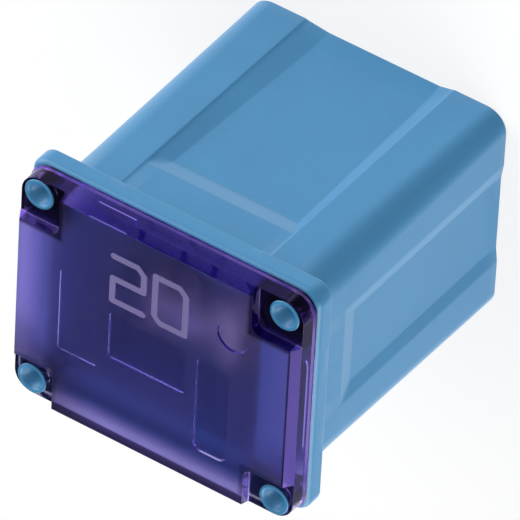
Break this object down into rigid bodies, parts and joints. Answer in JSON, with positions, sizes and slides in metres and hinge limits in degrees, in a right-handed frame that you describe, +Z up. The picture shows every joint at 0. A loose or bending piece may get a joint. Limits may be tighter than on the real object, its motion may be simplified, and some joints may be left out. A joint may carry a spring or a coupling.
{
  "type": "automotive cartridge fuse",
  "caption": "Box-shaped blade-socket cartridge fuse: light-blue flanged housing, clear violet staked cover with a printed rating, female sockets at the open end.",
  "frame": {"origin": "centre of the bounding box's base, in the plane of the open socket end", "axes": "+Z up from the open socket end to the clear cover, X along the long side, +Y towards the top of the printed figures"},
  "size_m": [0.0146, 0.012, 0.0163],
  "materials": {
    "housing": "satin light-blue glass-filled nylon",
    "cover": "clear violet polycarbonate, glossy",
    "element": "plated copper-alloy strip",
    "tin": "dull tin",
    "spring_steel": "stainless spring strip",
    "print": "thin lavender-white ink"
  },
  "bodies": {
    "root": {"housing": "housing", "cover": "cover", "fuse_element": "element", "tin_pellet": "tin", "spring_clip_left": "spring_steel", "spring_clip_right": "spring_steel", "rating_print": "print"}
  },
  "joints": []
}
